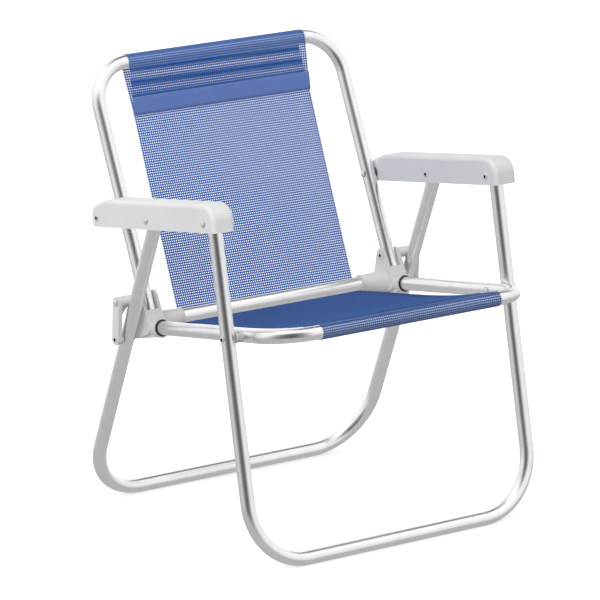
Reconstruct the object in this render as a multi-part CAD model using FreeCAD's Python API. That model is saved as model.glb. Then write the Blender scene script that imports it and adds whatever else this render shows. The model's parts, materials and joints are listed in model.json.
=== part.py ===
import FreeCAD, Part
import math
import os

from FreeCAD import Vector

# Folding beach chair: four bent aluminium tube frames, two armrests, two links and a mesh sling.
# Millimetres. +Z up, the chair faces -Y, the origin is on the floor under the middle of the chair.
# The side view is drawn in the YZ plane as (y, z) points. Pieces that come in pairs are built for
# the +X side and mirrored.

os.makedirs("parts", exist_ok=True)

# ---- tube stock and fasteners ----
tube_radius = 11.1
tube_wall = 1.2
rivet_radius = 3.0
bore_radius = 3.05
head_radius = 6.0
head_height = 2.2
tail_radius = 4.9
tail_height = 1.3
tail_roll_radius = 0.78
tail_hole_radius = 2.1
tail_hole_depth = 6.0
slip_gap = 0.3
socket_clearance = 0.05
socket_bore_radius = tube_radius + socket_clearance
cut_margin = 1.0
match_tolerance = 0.01

# ---- lanes: distance of each piece from the middle plane ----
leg_lane = 275.0
frame_lane = 241.0

# ---- side view points ----
front_foot = (-241.6, 11.1)
rear_foot = (213.7, 11.1)
seat_front = (-261.1, 377.3)
hinge = (104.0, 360.5)
back_top = (261.1, 702.6)
cross_tube_centre = (97.8, 321.8)
seat_pitch = math.radians(10.0)
arm_pitch = math.radians(10.0)

# ---- lengths along the pieces ----
hinge_to_arm_pivot = 137.0
arm_to_rear_leg = 136.4
arm_to_front_leg = 291.2
leg_top_overhang = 12.0
back_tube_overhang = 23.5
rear_pivot_to_link = 223.0
leg_bend_radius = 100.0
back_bend_radius = 68.0
seat_bend_radius = 65.0
socket_mouth_y = 58.6
socket_depth = 36.0
cross_tube_half_length = 226.0

# ---- corner brackets ----
ear_thickness = 5.0
ear_gap = 0.4
ear_radius = 10.5
body_rear = (106.0, 312.0)
body_rear_radius = 16.5
body_front = (80.0, 318.0)
body_front_radius = 10.0
barrel_mouth = 177.5
barrel_mouth_radius = 12.9
barrel_collar_radius = 13.6
barrel_collar_length = 4.0
barrel_root_radius = 18.8
barrel_root = (98.5, 317.5)
socket_radius = 14.8
socket_rim_radius = 15.7
socket_rim_length = 5.0
socket_end_wall = 10.0
socket_relief_radius = 12.5
socket_relief_length = 18.0
socket_relief_drop = 0.9
sweep_clearance_radius = 26.6
throat_front = 50.0
throat_rear = 92.0
throat_floor = 343.0
throat_top = 380.0
stop_near = 11.4
stop_far = 13.2
stop_top = 21.7
stop_bottom = 30.0

# ---- links ----
link_half_width = 8.7
link_thickness = 7.0
link_spacer_radius = 8.0
link_spacer_length = 5.1
link_boss_radius = 8.7
gusset_thickness = 3.0
gusset_start = 8.0
gusset_middle = 18.0
gusset_end = 42.0
gusset_depth = 16.5
gusset_middle_depth = 7.0

# ---- seat pivot spacers and arm washers ----
seat_spacer_radius = 8.6
seat_spacer_waist = 6.9
seat_spacer_waist_length = 4.4
saddle_reach = 26.0
washer_radius = 8.0

# ---- armrests ----
arm_width = 41.5
arm_wall = 3.0
arm_top_wall = 4.0
arm_edge_radius = 7.0
arm_bottom = -14.0
arm_top = 30.0
arm_rear = -16.0
arm_front = 318.0
arm_front_curve = 27.0
arm_crown_along = 46.6
arm_boss_radius = 7.0
arm_boss_root = 0.5
groove_width = 1.2
groove_depth = 0.6

# ---- rounded rear end of the armrest: each point's distance ahead of the end and below the top ----
arm_tail_curve = (35.0, 2.4)
arm_shoulder = (12.0, 9.0)
arm_shoulder_curve = (3.2, 16.0)
arm_heel = (0.0, 24.0)

# ---- sling ----
sling_half_width = 174.5
sling_thickness = 1.6
sleeve_gap = 0.3
back_sleeve_drop = 90.0
seat_sleeve_drop = 42.0
sleeve_seam_length = 12.0
sleeve_seam_gap = 0.4
sling_split = 0.8


def point(pair, x=0.0):
    """A side view point as a position in space."""
    return Vector(x, pair[0], pair[1])


def step(start, direction, distance):
    """The side view point a distance away along a unit direction."""
    return (start[0] + direction[0] * distance, start[1] + direction[1] * distance)


def toward(start, end):
    """The side view unit direction from one point to another."""
    dy = end[0] - start[0]
    dz = end[1] - start[1]
    length = math.hypot(dy, dz)
    return (dy / length, dz / length)


def turned(direction):
    """The direction a quarter turn anticlockwise, seen with +Y right and +Z up."""
    return (-direction[1], direction[0])


def crossing(start, direction, other, other_direction):
    """Where two side view lines cross."""
    det = direction[0] * other_direction[1] - direction[1] * other_direction[0]
    dy = other[0] - start[0]
    dz = other[1] - start[1]
    along = (dy * other_direction[1] - dz * other_direction[0]) / det
    return step(start, direction, along)


# ---- derived side view points ----
back_up = toward(hinge, back_top)
arm_forward = (-math.cos(arm_pitch), math.sin(arm_pitch))
arm_up = (math.sin(arm_pitch), math.cos(arm_pitch))
seat_back = (math.cos(seat_pitch), -math.sin(seat_pitch))
arm_pivot = step(hinge, back_up, hinge_to_arm_pivot)
rear_pivot = step(arm_pivot, arm_forward, arm_to_rear_leg)
front_pivot = step(arm_pivot, arm_forward, arm_to_front_leg)
seat_pivot = crossing(seat_front, seat_back, front_pivot, toward(front_pivot, front_foot))
link_pivot = step(rear_pivot, toward(rear_pivot, rear_foot), rear_pivot_to_link)
socket_mouth = step(seat_front, seat_back, (socket_mouth_y - seat_front[0]) / seat_back[0])
socket_bottom = step(socket_mouth, seat_back, socket_depth)


def cylinder(radius, pair, x_from, x_to):
    """A round bar across the chair."""
    return Part.makeCylinder(radius, x_to - x_from, point(pair, x_from), Vector(1, 0, 0))


def prism(outline, x_from, x_to):
    """A side view outline of edges, carried across the chair."""
    wire = Part.Wire(Part.__sortEdges__(outline))
    face = Part.Face(wire)
    solid = face.extrude(Vector(x_to - x_from, 0, 0))
    solid.translate(Vector(x_from, 0, 0))
    return solid


def polygon(corners):
    """Straight side view edges through the corners and back to the first."""
    positions = [point(corner) for corner in corners]
    ends = positions[1:] + positions[:1]
    return [Part.makeLine(a, b) for a, b in zip(positions, ends)]


def hull_of_circles(first, first_radius, second, second_radius):
    """The outline of two circles joined by their outer tangents."""
    along = toward(first, second)
    gap = math.hypot(second[0] - first[0], second[1] - first[1])
    sine = (first_radius - second_radius) / gap
    cosine = math.sqrt(1.0 - sine * sine)
    side = turned(along)
    edges = []
    ends = []
    for sign in (1.0, -1.0):
        normal = (along[0] * sine + sign * side[0] * cosine, along[1] * sine + sign * side[1] * cosine)
        a = point(step(first, normal, first_radius))
        b = point(step(second, normal, second_radius))
        edges.append(Part.makeLine(a, b))
        ends.append((a, b))
    first_far = point(step(first, along, -first_radius))
    second_far = point(step(second, along, second_radius))
    edges.append(Part.Arc(ends[0][0], first_far, ends[1][0]).toShape())
    edges.append(Part.Arc(ends[0][1], second_far, ends[1][1]).toShape())
    return edges


def both_sides(shape):
    """The +X piece and its mirror image as one group."""
    return Part.makeCompound([shape, mirrored(shape)])


def mirrored(shape):
    """The same piece on the -X side."""
    return shape.mirror(Vector(0, 0, 0), Vector(1, 0, 0))


def save(name, shape):
    """Writes one named sub-part."""
    shape.exportStep("parts/" + name + ".step")


def sweep(path, radius):
    """A round bar along a path of lines and tangent arcs."""
    start = path.Edges[0].Vertexes[0].Point
    following = path.Edges[0].Vertexes[1].Point
    circle = Part.Wire(Part.makeCircle(radius, start, following - start))
    return path.makePipeShell([circle], True, False)


def u_tube(crossbar, leg_end, half_width, bend_radius):
    """A tube bent to a U: a crossbar with a round bend at each end and two straight legs."""
    along = toward(crossbar, leg_end)
    bent_start = step(crossbar, along, bend_radius)
    bend_middle = step(crossbar, along, bend_radius * (1.0 - math.sin(math.radians(45.0))))
    middle_x = half_width - bend_radius * (1.0 - math.cos(math.radians(45.0)))
    inner_x = half_width - bend_radius
    edges = [
        Part.makeLine(point(leg_end, -half_width), point(bent_start, -half_width)),
        Part.Arc(
            point(bent_start, -half_width), point(bend_middle, -middle_x), point(crossbar, -inner_x)
        ).toShape(),
        Part.makeLine(point(crossbar, -inner_x), point(crossbar, inner_x)),
        Part.Arc(
            point(crossbar, inner_x), point(bend_middle, middle_x), point(bent_start, half_width)
        ).toShape(),
        Part.makeLine(point(bent_start, half_width), point(leg_end, half_width)),
    ]
    path = Part.Wire(edges)
    return sweep(path, tube_radius).cut(sweep(path, tube_radius - tube_wall))


def drilled(shape, pair, radius=bore_radius):
    """The shape with a hole across the whole chair at a pivot."""
    reach = leg_lane + arm_width
    return shape.cut(cylinder(radius, pair, -reach, reach))


def domed_head(pair, x, outward):
    """The domed head of a rivet, flat side at x."""
    ball_radius = (head_radius ** 2 + head_height ** 2) / (2.0 * head_height)
    ball_x = x - outward * (ball_radius - head_height)
    half_angle = math.asin(head_radius / ball_radius) / 2.0
    middle = Vector(ball_x + outward * ball_radius * math.cos(half_angle), pair[0], pair[1])
    middle.z += ball_radius * math.sin(half_angle)
    centre = point(pair, x)
    edge = centre + Vector(0, 0, head_radius)
    crown = centre + Vector(outward * head_height, 0, 0)
    outline = Part.Wire(
        [Part.makeLine(centre, edge), Part.Arc(edge, middle, crown).toShape(), Part.makeLine(crown, centre)]
    )
    return Part.makeSolid(Part.Face(outline).revolve(centre, Vector(1, 0, 0), 360))


def rolled_tail(pair, x, outward):
    """The rolled hollow end of a rivet, flat side at x."""
    x_from, x_to = sorted((x, x + outward * tail_height))
    disc = cylinder(tail_radius, pair, x_from, x_to)
    outer_x = x + outward * tail_height
    rim = []
    for edge in disc.Edges:
        if abs(edge.CenterOfMass.x - outer_x) < match_tolerance and len(edge.Vertexes) == 1:
            rim.append(edge)
    return disc.makeFillet(tail_roll_radius, rim)


def rivet(pair, head_x=None, tail_x=None, plain_x=None):
    """A rivet across a joint: a domed head, a rolled tail, or a plain cut end at plain_x."""
    ends = [x for x in (head_x, tail_x, plain_x) if x is not None]
    body = cylinder(rivet_radius, pair, min(ends), max(ends))
    middle = sum(ends) / len(ends)
    if head_x is not None:
        body = body.fuse(domed_head(pair, head_x, math.copysign(1.0, head_x - middle)))
    if tail_x is not None:
        outward = math.copysign(1.0, tail_x - middle)
        body = body.fuse(rolled_tail(pair, tail_x, outward))
        hole = sorted((tail_x - outward * tail_hole_depth, tail_x + outward * 2.0 * tail_height))
        body = body.cut(cylinder(tail_hole_radius, pair, hole[0], hole[1]))
    return body.removeSplitter()


# ---- frames ----


def front_leg():
    top = step(front_pivot, toward(front_foot, front_pivot), leg_top_overhang)
    shape = u_tube(front_foot, top, leg_lane, leg_bend_radius)
    return drilled(drilled(shape, front_pivot), seat_pivot)


def rear_leg():
    top = step(rear_pivot, toward(rear_foot, rear_pivot), leg_top_overhang)
    shape = u_tube(rear_foot, top, leg_lane, leg_bend_radius)
    return drilled(drilled(shape, rear_pivot), link_pivot)


def back_frame():
    foot = step(hinge, back_up, -back_tube_overhang)
    shape = u_tube(back_top, foot, frame_lane, back_bend_radius)
    return drilled(drilled(shape, arm_pivot), hinge)


def seat_frame():
    shape = u_tube(seat_front, socket_bottom, frame_lane, seat_bend_radius)
    return drilled(shape, seat_pivot)


def cross_tube():
    half = cross_tube_half_length
    outer = cylinder(tube_radius, cross_tube_centre, -half, half)
    return outer.cut(cylinder(tube_radius - tube_wall, cross_tube_centre, -half, half))


# ---- corner bracket: two ears, a socket for the seat tube and a barrel for the cross tube ----

ear_inner = frame_lane - tube_radius - ear_gap - ear_thickness
ear_outer = frame_lane + tube_radius + ear_gap + ear_thickness


def seat_socket(radius, start, length):
    """A round bar on the axis of the seat tube."""
    axis = Vector(0, seat_back[0], seat_back[1])
    return Part.makeCylinder(radius, length, point(start, frame_lane), axis)


def bracket_slot():
    """The room between the ears in which the back tube turns, with the stop left standing."""
    slot_from = ear_inner + ear_thickness
    slot_to = ear_outer - ear_thickness
    room = cylinder(sweep_clearance_radius, hinge, slot_from, slot_to)
    throat = [
        (throat_front, throat_floor),
        (throat_rear, throat_floor),
        (throat_rear, throat_top),
        (throat_front, throat_top),
    ]
    room = room.fuse(prism(polygon(throat), slot_from, slot_to))
    forward = turned(back_up)
    corners = []
    for along, across in (
        (stop_top, stop_near),
        (stop_top, stop_far),
        (stop_bottom, stop_far),
        (stop_bottom, stop_near),
    ):
        corners.append(step(step(hinge, back_up, -along), forward, across))
    return room.cut(prism(polygon(corners), slot_from, slot_to))


def bracket_sides():
    """The three-cornered side outline of the ears, full width."""
    corners = (
        (hinge, ear_radius),
        (body_rear, body_rear_radius),
        (body_front, body_front_radius),
    )
    sides = []
    for first, second in ((0, 1), (1, 2), (2, 0)):
        outline = hull_of_circles(*corners[first], *corners[second])
        sides.append(prism(outline, ear_inner, ear_outer))
    return sides[0].fuse(sides[1:])


def bracket_barrel():
    """The tapered barrel round the end of the cross tube."""
    mouth = Part.makeCircle(barrel_mouth_radius, point(cross_tube_centre, barrel_mouth), Vector(1, 0, 0))
    root = Part.makeCircle(barrel_root_radius, point(barrel_root, ear_inner), Vector(1, 0, 0))
    taper = Part.makeLoft([Part.Wire(mouth), Part.Wire(root)], True, True)
    stub = cylinder(barrel_root_radius, barrel_root, ear_inner, ear_inner + ear_thickness)
    collar_end = barrel_mouth + barrel_collar_length
    collar = cylinder(barrel_collar_radius, cross_tube_centre, barrel_mouth, collar_end)
    return taper.fuse([stub, collar])


def corner_bracket():
    web_front = step(socket_mouth, seat_back, socket_radius)
    web = prism(
        hull_of_circles(body_rear, body_rear_radius, web_front, socket_radius),
        ear_inner + ear_thickness,
        ear_outer - ear_thickness,
    )
    socket = seat_socket(socket_radius, socket_mouth, socket_depth + socket_end_wall)
    rim = seat_socket(socket_rim_radius, socket_mouth, socket_rim_length)
    shape = bracket_sides().fuse([web, bracket_barrel(), socket, rim])
    shape = shape.cut(bracket_slot())
    shape = shape.cut(seat_socket(socket_bore_radius, socket_mouth, socket_depth))
    front = step(socket_mouth, seat_back, -socket_depth)
    shape = shape.cut(seat_socket(socket_bore_radius, front, socket_depth))
    relief = seat_socket(socket_relief_radius, socket_mouth, socket_relief_length)
    relief.translate(Vector(0, 0, -socket_relief_drop))
    shape = shape.cut(relief)
    bore_from = barrel_mouth - cut_margin
    shape = shape.cut(cylinder(socket_bore_radius, cross_tube_centre, bore_from, cross_tube_half_length))
    shape = shape.cut(cylinder(bore_radius, hinge, ear_inner - cut_margin, ear_outer + cut_margin))
    return shape.removeSplitter()


# ---- links and their spacers ----

link_inner = leg_lane + tube_radius + slip_gap + link_spacer_length
link_outer = link_inner + link_thickness


def link_gusset():
    """The rib between the boss and the bar, hollowed where the rear leg passes as the chair folds."""
    along = toward(hinge, link_pivot)
    side = turned(along)
    start = step(hinge, side, -gusset_thickness / 2.0)
    root_x = link_inner + match_tolerance
    root_start = point(step(start, along, gusset_start), root_x)
    root_end = point(step(start, along, gusset_end), root_x)
    tip = point(step(start, along, gusset_start), link_inner - gusset_depth)
    middle = point(step(start, along, gusset_middle), link_inner - gusset_middle_depth)
    hollow = Part.Arc(root_end, middle, tip).toShape()
    straight = [Part.makeLine(tip, root_start), Part.makeLine(root_start, root_end)]
    face = Part.Face(Part.Wire(straight + [hollow]))
    return face.extrude(point(side) * gusset_thickness)


def link():
    bar = prism(
        hull_of_circles(hinge, link_half_width, link_pivot, link_half_width), link_inner, link_outer
    )
    boss = cylinder(link_boss_radius, hinge, ear_outer + slip_gap, link_inner)
    shape = bar.fuse([boss, link_gusset()])
    shape = shape.cut(cylinder(bore_radius, hinge, ear_outer, link_outer + cut_margin))
    far_hole = cylinder(bore_radius, link_pivot, link_inner - cut_margin, link_outer + cut_margin)
    return shape.cut(far_hole).removeSplitter()


def link_spacer():
    shape = cylinder(link_spacer_radius, link_pivot, leg_lane + tube_radius + slip_gap, link_inner)
    return shape.cut(cylinder(bore_radius, link_pivot, leg_lane, link_outer))


def seat_spacer():
    """A waisted spacer with a saddle against the seat tube."""
    inner = frame_lane
    outer = leg_lane - tube_radius - slip_gap
    shape = cylinder(seat_spacer_radius, seat_pivot, inner, outer)
    middle = (frame_lane + leg_lane) / 2.0
    half = seat_spacer_waist_length / 2.0
    groove = cylinder(seat_spacer_radius + cut_margin, seat_pivot, middle - half, middle + half)
    shape = shape.cut(groove.cut(cylinder(seat_spacer_waist, seat_pivot, inner, outer)))
    saddle = Part.makeCylinder(
        tube_radius + match_tolerance,
        2.0 * saddle_reach,
        point(step(seat_pivot, seat_back, -saddle_reach), frame_lane),
        Vector(0, seat_back[0], seat_back[1]),
    )
    shape = shape.cut(saddle)
    solids = sorted(shape.Solids, key=lambda s: s.Volume)
    return solids[-1].cut(cylinder(bore_radius, seat_pivot, inner, outer))


# ---- armrest: a moulded channel, open underneath ----

arm_inner = leg_lane - arm_width / 2.0
arm_outer = leg_lane + arm_width / 2.0


def arm_point(along, up):
    """A side view point given from the arm pivot, along and above the armrest."""
    return step(step(arm_pivot, arm_forward, along), arm_up, up)


def arm_outline(inset, top_inset, bottom):
    """The armrest seen from the side, drawn inward by the inset."""
    rear = arm_rear + inset
    front = arm_front - inset
    top = arm_top - top_inset
    curve = arm_front_curve - inset

    def arc(a, b, c):
        return Part.Arc(point(arm_point(*a)), point(arm_point(*b)), point(arm_point(*c))).toShape()

    def line(a, b):
        return Part.makeLine(point(arm_point(*a)), point(arm_point(*b)))

    def tail(pair):
        return (rear + pair[0], top - pair[1])

    crown = (arm_crown_along, top)
    shoulder = tail(arm_shoulder)
    heel = tail(arm_heel)
    diagonal = math.cos(math.radians(45.0))
    nose = (front - curve * (1.0 - diagonal), top - curve * (1.0 - diagonal))
    return [
        line((rear, bottom), (front, bottom)),
        line((front, bottom), (front, top - curve)),
        arc((front, top - curve), nose, (front - curve, top)),
        line((front - curve, top), crown),
        arc(crown, tail(arm_tail_curve), shoulder),
        arc(shoulder, tail(arm_shoulder_curve), heel),
        line(heel, (rear, bottom)),
    ]


def rounded_arm():
    block = prism(arm_outline(0.0, 0.0, arm_bottom), arm_inner, arm_outer)
    edges = []
    for edge in block.Edges:
        box = edge.BoundBox
        on_side = min(abs(box.XMin - x) + abs(box.XMax - x) for x in (arm_inner, arm_outer))
        middle = edge.valueAt((edge.FirstParameter + edge.LastParameter) / 2.0)
        up = (middle.y - arm_pivot[0]) * arm_up[0] + (middle.z - arm_pivot[1]) * arm_up[1]
        if on_side < match_tolerance and up > arm_bottom + cut_margin:
            edges.append(edge)
    return block.makeFillet(arm_edge_radius, edges)


def rivet_bosses(pair, spans):
    """Rings moulded inside the channel round a rivet."""
    return [cylinder(arm_boss_radius, pair, x_from, x_to) for x_from, x_to in spans]


def armrest():
    shape = rounded_arm()
    cavity = prism(
        arm_outline(arm_wall, arm_top_wall, arm_bottom - cut_margin),
        arm_inner + arm_wall,
        arm_outer - arm_wall,
    )
    shape = shape.cut(cavity)
    near = (arm_inner + arm_wall - arm_boss_root, leg_lane - tube_radius - slip_gap)
    far = (leg_lane + tube_radius + slip_gap, arm_outer - arm_wall + arm_boss_root)
    bosses = rivet_bosses(front_pivot, (near, far)) + rivet_bosses(rear_pivot, (near, far))
    bosses += rivet_bosses(arm_pivot, ((near[0], far[1]),))
    shape = shape.fuse(bosses)
    for pair, along in ((front_pivot, arm_to_front_leg), (rear_pivot, arm_to_rear_leg), (arm_pivot, 0.0)):
        shape = shape.cut(cylinder(bore_radius, pair, arm_inner - cut_margin, arm_outer + cut_margin))
        half = groove_width / 2.0
        corners = [
            arm_point(along - half, arm_bottom - cut_margin),
            arm_point(along + half, arm_bottom - cut_margin),
            arm_point(along + half, -rivet_radius),
            arm_point(along - half, -rivet_radius),
        ]
        shape = shape.cut(prism(polygon(corners), arm_outer - groove_depth, arm_outer + cut_margin))
        shape = shape.cut(prism(polygon(corners), arm_inner - cut_margin, arm_inner + groove_depth))
    return shape.removeSplitter()


def arm_washer():
    outer = arm_inner
    inner = frame_lane + tube_radius + slip_gap
    return cylinder(washer_radius, arm_pivot, inner, outer).cut(
        cylinder(bore_radius, arm_pivot, inner, outer)
    )


# ---- sling, as plain closed solids: a drop-shaped sleeve on each bar and a flat panel ----

sleeve_bore = tube_radius + sleeve_gap
sleeve_radius = sleeve_bore + sling_thickness


def strip(start, end):
    """A flat strip of sling between two side view points."""
    side = turned(toward(start, end))
    half = sling_thickness / 2.0
    corners = [step(start, side, half), step(end, side, half)]
    corners += [step(end, side, -half), step(start, side, -half)]
    return prism(polygon(corners), -sling_half_width, sling_half_width)


def sleeve(bar, apex):
    """The sleeve round a bar, drawn down to the seam at the apex."""
    outline = hull_of_circles(bar, sleeve_radius, apex, sling_thickness / 2.0)
    drop = prism(outline, -sling_half_width, sling_half_width)
    seam_top = step(apex, toward(apex, bar), sleeve_seam_length)
    inner = hull_of_circles(bar, sleeve_bore, seam_top, sleeve_seam_gap)
    return drop.cut(prism(inner, -sling_half_width, sling_half_width))


def tangent_point(start, centre, radius, side):
    """Where a line from start touches a circle, on the side given by the sign."""
    along = toward(start, centre)
    gap = math.hypot(centre[0] - start[0], centre[1] - start[1])
    sine = radius / gap
    cosine = math.sqrt(1.0 - sine * sine)
    across = turned(along)
    normal = (
        -along[0] * sine + side * across[0] * cosine,
        -along[1] * sine + side * across[1] * cosine,
    )
    return step(centre, normal, radius)


panel_radius = sleeve_bore + sling_thickness / 2.0
back_seam = step(back_top, back_up, -back_sleeve_drop)
seat_seam = step(seat_front, seat_back, seat_sleeve_drop)
back_touch = tangent_point(back_seam, cross_tube_centre, panel_radius, 1.0)
seat_touch = tangent_point(seat_seam, cross_tube_centre, panel_radius, -1.0)


def back_sling():
    end = step(back_touch, toward(back_touch, back_seam), sling_split)
    return sleeve(back_top, back_seam).fuse(strip(back_seam, end)).removeSplitter()


def seat_sling():
    half = sling_half_width
    ring = cylinder(sleeve_radius, cross_tube_centre, -half, half)
    ring = ring.cut(cylinder(sleeve_bore, cross_tube_centre, -half, half))
    reach = 4.0 * sleeve_radius
    back_side = toward(cross_tube_centre, back_touch)
    seat_side = toward(cross_tube_centre, seat_touch)
    wedge = polygon(
        [
            cross_tube_centre,
            step(cross_tube_centre, back_side, reach),
            step(step(cross_tube_centre, back_side, reach), seat_side, reach),
            step(cross_tube_centre, seat_side, reach),
        ]
    )
    wrap = ring.common(prism(wedge, -half, half))
    panel = strip(seat_seam, seat_touch)
    return sleeve(seat_front, seat_seam).fuse([panel, wrap]).removeSplitter()


# ---- rivets, grouped by the piece they ride on ----


def arm_front_rivet():
    return rivet(front_pivot, head_x=arm_outer, tail_x=arm_inner)


def arm_middle_rivet():
    return rivet(rear_pivot, head_x=arm_outer, tail_x=arm_inner)


def arm_rear_rivet():
    return rivet(arm_pivot, head_x=frame_lane - tube_radius - slip_gap, tail_x=arm_outer)


def hinge_rivet():
    return rivet(hinge, head_x=link_outer + slip_gap, tail_x=ear_inner)


def seat_rivet_inner():
    return rivet(seat_pivot, head_x=frame_lane - tube_radius, plain_x=leg_lane - tube_radius - slip_gap)


def seat_rivet_outer():
    return rivet(seat_pivot, tail_x=leg_lane + tube_radius, plain_x=leg_lane - tube_radius)


def link_rivet_outer():
    return rivet(link_pivot, tail_x=link_outer, plain_x=leg_lane + tube_radius + slip_gap)


def link_rivet_inner():
    return rivet(link_pivot, head_x=leg_lane - tube_radius, plain_x=leg_lane + tube_radius)


for name, build in (
    ("front_leg", front_leg),
    ("rear_leg", rear_leg),
    ("back_frame", back_frame),
    ("seat_frame", seat_frame),
    ("cross_tube", cross_tube),
    ("back_sling", back_sling),
    ("seat_sling", seat_sling),
):
    save(name, build())

for name, build in (
    ("armrest", armrest),
    ("corner_bracket", corner_bracket),
    ("link", link),
    ("link_spacer", link_spacer),
    ("seat_spacer", seat_spacer),
    ("arm_washer", arm_washer),
):
    piece = build()
    save(name + "_left", piece)
    save(name + "_right", mirrored(piece))

for name, build in (
    ("arm_front_rivets", arm_front_rivet),
    ("arm_middle_rivets", arm_middle_rivet),
    ("arm_rear_rivets", arm_rear_rivet),
    ("hinge_rivets", hinge_rivet),
    ("seat_rivets_inner_half", seat_rivet_inner),
    ("seat_rivets_outer_half", seat_rivet_outer),
    ("link_rivets_outer_half", link_rivet_outer),
    ("link_rivets_inner_half", link_rivet_inner),
):
    save(name, both_sides(build()))
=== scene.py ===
import json
import math

import bmesh
import bpy
import numpy as np
from mathutils import Matrix, Vector


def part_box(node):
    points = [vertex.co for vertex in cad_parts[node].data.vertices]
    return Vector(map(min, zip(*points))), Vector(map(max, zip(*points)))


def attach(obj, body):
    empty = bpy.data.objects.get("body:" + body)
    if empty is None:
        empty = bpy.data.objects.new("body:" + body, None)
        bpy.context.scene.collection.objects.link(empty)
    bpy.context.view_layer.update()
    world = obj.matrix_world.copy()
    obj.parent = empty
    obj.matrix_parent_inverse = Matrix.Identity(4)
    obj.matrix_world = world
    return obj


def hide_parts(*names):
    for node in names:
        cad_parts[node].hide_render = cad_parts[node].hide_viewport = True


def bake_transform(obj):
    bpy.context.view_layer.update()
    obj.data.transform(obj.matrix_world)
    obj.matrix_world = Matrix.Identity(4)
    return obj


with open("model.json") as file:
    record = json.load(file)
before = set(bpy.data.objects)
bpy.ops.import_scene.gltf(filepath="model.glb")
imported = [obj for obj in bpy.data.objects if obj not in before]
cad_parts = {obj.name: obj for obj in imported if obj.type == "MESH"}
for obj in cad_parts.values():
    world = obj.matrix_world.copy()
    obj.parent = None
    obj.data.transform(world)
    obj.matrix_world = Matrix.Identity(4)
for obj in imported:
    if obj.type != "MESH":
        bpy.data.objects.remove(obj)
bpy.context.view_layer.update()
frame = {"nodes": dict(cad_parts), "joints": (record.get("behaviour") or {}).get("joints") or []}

# Metres, +Z up, the chair faces -Y.
# The sheet is drawn in the side view as (y, z) points and carried across in x.

# ---- camera, placed for the reference angle ----
CAMERA_AZIMUTH = math.radians(-36.85)
CAMERA_ELEVATION = math.radians(14.78)
CAMERA_ROLL = math.radians(0.73)
CAMERA_DISTANCE = 7.66
CAMERA_TARGET = Vector((0.0, 0.0025, 0.4))
CAMERA_AIM_LEFT = 0.01174
CAMERA_AIM_DOWN = 0.05566
CAMERA_LENS = 290.0
CAMERA_SENSOR = 36.0
CAMERA_REACH = 200.0
UP = Vector((0.0, 0.0, 1.0))

# ---- floor and diffuse light ----
FLOOR_HALF = 40.0
FLOOR_GLOW = 0.40
FLOOR_SPECKLE = 3.0
FLOOR_ROUGHNESS = 0.9
FLOOR_SHINE = 0.1
FLOOR_DARK = (0.93, 0.93, 0.93, 1.0)
FLOOR_LIGHT = (0.95, 0.95, 0.95, 1.0)
DOME_SIDE = 0.64
DOME_TOP = 0.84
DOME_BELOW = 0.36
DOME_EDGE = 0.02
KEY_STRENGTH = 1.4
KEY_ANGLE = math.radians(50.0)
KEY_FROM = (-0.75, -0.38, 0.52)
WHITE = (1.0, 1.0, 1.0, 1.0)

# ---- what the metal mirrors: levels against white, and the degrees over which each fades in ----
# Azimuths count from the camera's side of the chair, positive to its right, and heights from the horizon.
WALL_FOOT = 0.86
WALL_TOP = 1.0
WALL_RISE = (-10.0, 22.0)
CEILING_LEVEL = 1.24
CEILING_RISE = (22.0, 60.0)
SIDE_LEVEL = 0.80
SIDE_CENTRE = -105.0
SIDE_HALF = 62.0
SIDE_SOFT = 14.0
SIDE_FALL = (12.0, -8.0)
BEHIND_LEVEL = 1.04
BEHIND_TURN = (125.0, 150.0)
GAP_LEVEL = 0.12
GAP_RISE = (20.0, 36.0)
GAP_RIGHT_TURN = (125.0, 155.0)
GAP_LEFT_TURN = (-145.0, -175.0)
GAP_LEFT_SHARE = 0.55
FLOOR_LEVEL = 0.50
FLOOR_FALL = (-4.0, -20.0)

# ---- dark card that only the metal mirrors. Its top edge fades in from FLAG_TOP down to FLAG_FULL ----
FLAG_DISTANCE = 1.8
FLAG_LEFT = 3.6
FLAG_RIGHT = 2.0
FLAG_TOP = 3.4
FLAG_FULL = 1.5
FLAG_BELOW = 0.5
FLAG_LEVEL = 0.085

# ---- detail and roughness of the noises, and the spans of their values that are stretched to 0 to 1 ----
SLOW_NOISE = (2.0, 0.5)
YARN_NOISE = (2.0, 0.6)
FINE_NOISE = (3.0, 0.6)
BLOTCH_NOISE = (3.0, 0.55)
SCUFF_NOISE = (4.0, 0.7)
TONE_RANGE = (0.3, 0.7)
LINE_RANGE = (0.25, 0.75)
FINE_RANGE = (0.2, 0.8)

# ---- metal ----
METAL_DARK = (0.87, 0.875, 0.885, 1.0)
METAL_LIGHT = (0.92, 0.922, 0.926, 1.0)
METAL_SCUFF = (0.76, 0.765, 0.77, 1.0)
# The covered tone is painted shade, tinted blue, for the metal under the cloth.
METAL_UNDER_CLOTH_SHADE = (0.62, 0.68, 0.80, 1.0)
METAL_BLOTCH = 38.0
METAL_ROUGHNESS = (0.23, 0.29)
SCUFF_SCALE = 260.0
SCUFF_RANGE = (0.62, 0.74)
SCUFF_SHARE = 0.15
SCUFF_ROUGHNESS = 0.04
COVER_BLEND = 0.002
LEG_LINES = (1600.0, 3.0, 1600.0)
BAR_LINES = (3.0, 1600.0, 1600.0)
LINE_BUMP = (0.00003, 0.08)
LINES_TURN = (0.1, 0.5)
LEG_BEND = 0.1
BACK_BEND = 0.068
SEAT_BEND = 0.065

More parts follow.
